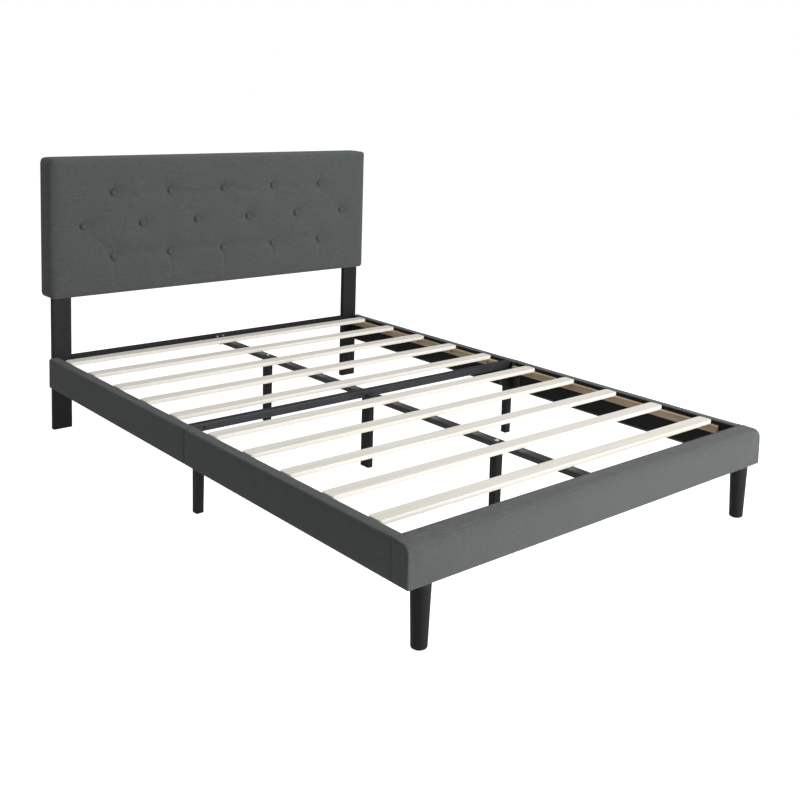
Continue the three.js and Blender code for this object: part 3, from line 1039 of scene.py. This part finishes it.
def leg_rings(foot, top, height):
    """A taper from the foot's radius to the top's, with both ends eased."""
    start = GLIDE + 2.2 * MM
    length = height - GLIDE - 4 * MM
    steps = 10
    rings = [(foot - 3 * MM, GLIDE, 0), (foot - 0.9 * MM, GLIDE + 0.5 * MM, 0), (foot, start, 0)]
    for k in range(1, steps):
        share = k / steps
        rings.append((foot + (top - foot) * share, start + length * share, 0))
    rings.append((top, height - 1.2 * MM, 0))
    rings.append((top - 0.4 * MM, height - 0.4 * MM, 0))
    rings.append((top - 1.2 * MM, height, 0))
    return rings


def support_legs():
    for node in ("mid_leg_left", "mid_leg_right", "beam_leg_front", "beam_leg_rear", "centre_leg"):
        finished_copy(node, LEG_EDGE, LACQUER)


def steelwork():
    for node in ("crossbar_left", "crossbar_right"):
        finished_copy(node, CROSSBAR_EDGE, STEEL, 2)
    for node in ("centre_beam_front", "centre_beam_rear", "beam_bracket"):
        finished_copy(node, BEAM_EDGE, STEEL, 2)
    crossbar_bolts()
    beam_bolts()
    seam_plates()
    foot_bracket()


def crossbar_bolts():
    """Two bolts at each end of the crossbar, and one on top at each side of its middle."""
    end_insets = (12 * MM, 42 * MM)
    from_middle = 14 * MM
    bm = bmesh.new()
    for side_name, side in (("left", -1), ("right", 1)):
        low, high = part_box(f"crossbar_{side_name}")
        end = low.x if side < 0 else high.x
        z = (low.z + high.z) / 2
        for inset in end_insets:
            socket_bolt(bm, Vector((end - side * inset, low.y, z)), (0, -1, 0), radius=3.5 * MM)
        top = Vector((side * from_middle, (low.y + high.y) / 2, high.z))
        socket_bolt(bm, top, (0, 0, 1), radius=4.5 * MM)
    attach(add_piece("crossbar_bolts", bm, STEEL))


def beam_bolts():
    """A bolt over each leg of the centre beam, and two in the bracket at its rear end."""
    bracket_thick = 3 * MM
    from_middle = 13 * MM
    below_top = 5 * MM
    bm = bmesh.new()
    for leg, beam in (("beam_leg_front", "centre_beam_front"), ("beam_leg_rear", "centre_beam_rear")):
        low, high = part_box(leg)
        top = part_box(beam)[1].z
        socket_bolt(bm, Vector((0, (low.y + high.y) / 2, top)), (0, 0, 1))
    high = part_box("beam_bracket")[1]
    for x in (-from_middle, from_middle):
        place = Vector((x, high.y - bracket_thick, high.z - below_top))
        socket_bolt(bm, place, (0, -1, 0), radius=3 * MM)
    attach(add_piece("beam_bolts", bm, ZINC))


def seam_plates():
    """Steel plates that join the two halves of each side rail on the inside."""
    thick = 2.2 * MM
    ahead = 37 * MM
    behind = 68 * MM
    bottom = 8 * MM
    top = 66 * MM
    for side_name, side in (("left", -1), ("right", 1)):
        board_low, board_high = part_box(f"rail_board_{side_name}_front")
        inner = (board_high.x if side < 0 else board_low.x) - side * GAP
        face = inner - side * thick
        x = sorted((inner, face))
        low = (x[0], board_high.y - ahead, board_low.z + bottom)
        high = (x[1], board_high.y + behind, board_low.z + top)
        plate = rounded_box(f"seam_plate_{side_name}", low, high, SEAM_PLATE_EDGE, STEEL, 2)
        attach(plate)
        bm = bmesh.new()
        for y in (low[1] + SEAM_BOLT_INSET, high[1] - SEAM_BOLT_INSET):
            for z in (low[2] + SEAM_BOLT_INSET, high[2] - SEAM_BOLT_INSET):
                socket_bolt(bm, Vector((face, y, z)), (-side, 0, 0), radius=5 * MM)
        attach(add_piece(f"seam_bolts_{side_name}", bm, STEEL))


def foot_bracket():
    """An angle under the front beam, screwed to the inside of the footboard."""
    thick = 3 * MM
    drop = 38 * MM
    reach = 40 * MM
    past_beam = 6 * MM
    from_middle = 12 * MM
    screw_drop = 22 * MM
    beam_low, beam_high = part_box("centre_beam_front")
    half = (beam_high.x - beam_low.x) / 2 + past_beam
    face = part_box("footboard_board")[1].y + GAP
    ledge = beam_low.z - GAP
    bm = bmesh.new()
    add_box(bm, (-half, face, ledge - drop), (half, face + thick, ledge))
    add_box(bm, (-half, face + thick, ledge - thick), (half, face + reach, ledge))
    bmesh.ops.remove_doubles(bm, verts=bm.verts, dist=HAIR)
    bevel_sharp(bm, BRACKET_EDGE, 2)
    plate = add_piece("foot_bracket", bm, STEEL)
    crisp(plate)
    attach(plate)
    bm = bmesh.new()
    for x in (-from_middle, from_middle):
        socket_bolt(bm, Vector((x, face + thick, ledge - screw_drop)), (0, 1, 0), radius=4 * MM)
    attach(add_piece("foot_bracket_screws", bm, ZINC))


# ---------------------------------------------------------------- studio

def add_camera():
    forward = Vector((
        math.sin(CAMERA_YAW) * math.cos(CAMERA_PITCH),
        math.cos(CAMERA_YAW) * math.cos(CAMERA_PITCH),
        -math.sin(CAMERA_PITCH),
    ))
    level = Vector((math.cos(CAMERA_YAW), -math.sin(CAMERA_YAW), 0))
    upright = level.cross(forward)
    right = level * math.cos(CAMERA_ROLL) + upright * math.sin(CAMERA_ROLL)
    up = upright * math.cos(CAMERA_ROLL) - level * math.sin(CAMERA_ROLL)
    data = bpy.data.cameras.new("camera")
    data.lens = CAMERA_LENS
    data.shift_y = CAMERA_SHIFT
    camera = bpy.data.objects.new("camera", data)
    turn = Matrix((right, up, -forward)).transposed().to_4x4()
    camera.matrix_world = Matrix.Translation(CAMERA_PLACE) @ turn
    scene.collection.objects.link(camera)
    scene.camera = camera


def add_floor():
    bm = bmesh.new()
    bmesh.ops.create_circle(bm, cap_ends=True, radius=FLOOR_RADIUS, segments=96)
    floor = add_piece("floor", bm, studio_floor())


def add_light(name, place, target, size, power):
    """A soft rectangle of light, aimed from its place at the target and unseen by the camera."""
    data = bpy.data.lights.new(name, "AREA")
    data.shape = "RECTANGLE"
    data.size = size[0]
    data.size_y = size[1]
    data.energy = power
    light = bpy.data.objects.new(name, data)
    light.location = place
    light.rotation_mode = "QUATERNION"
    light.rotation_quaternion = (Vector(target) - Vector(place)).to_track_quat("-Z", "Y")
    light.visible_camera = False
    scene.collection.objects.link(light)


def add_lights():
    add_light("overhead", place=(0.3, 0.0, 3.6), target=(0, 0, 0), size=(4.0, 4.5), power=72)
    add_light("key", place=(2.0, -4.7, 2.2), target=(0, 0, 0.4), size=(2.0, 2.0), power=195)
    add_light("low_front", place=(0.2, -3.2, 0.5), target=(0, -1, 0.2), size=(2.4, 0.6), power=30)
    add_light("side_fill", place=(-4.0, 2.4, 1.6), target=(-0.5, 0.3, 0.5), size=(2.0, 2.0), power=9)


def add_world():
    """White behind everything for the camera, and a dimmer dome for the light that it gives."""
    world = bpy.data.worlds.new("studio")
    scene.world = world
    world.use_nodes = True
    tree = world.node_tree
    background = tree.nodes["Background"]
    seen = tree.nodes.new("ShaderNodeLightPath").outputs["Is Camera Ray"]
    strength = tree.nodes.new("ShaderNodeMapRange")
    strength.inputs["To Min"].default_value = SKY_GLOW[0]
    strength.inputs["To Max"].default_value = SKY_GLOW[1]
    tree.links.new(seen, strength.inputs["Value"])
    tree.links.new(strength.outputs["Result"], background.inputs["Strength"])
    background.inputs["Color"].default_value = (1.0, 1.0, 1.0, 1.0)


add_camera()
add_floor()
add_lights()
add_world()
scene.view_settings.view_transform = "Standard"

headboard_cover()
headboard_back()
headboard_buttons()
rail_covers()
footboard_cover()
inside_boards()
slats()
ledgers()
posts()
front_legs()
support_legs()
steelwork()
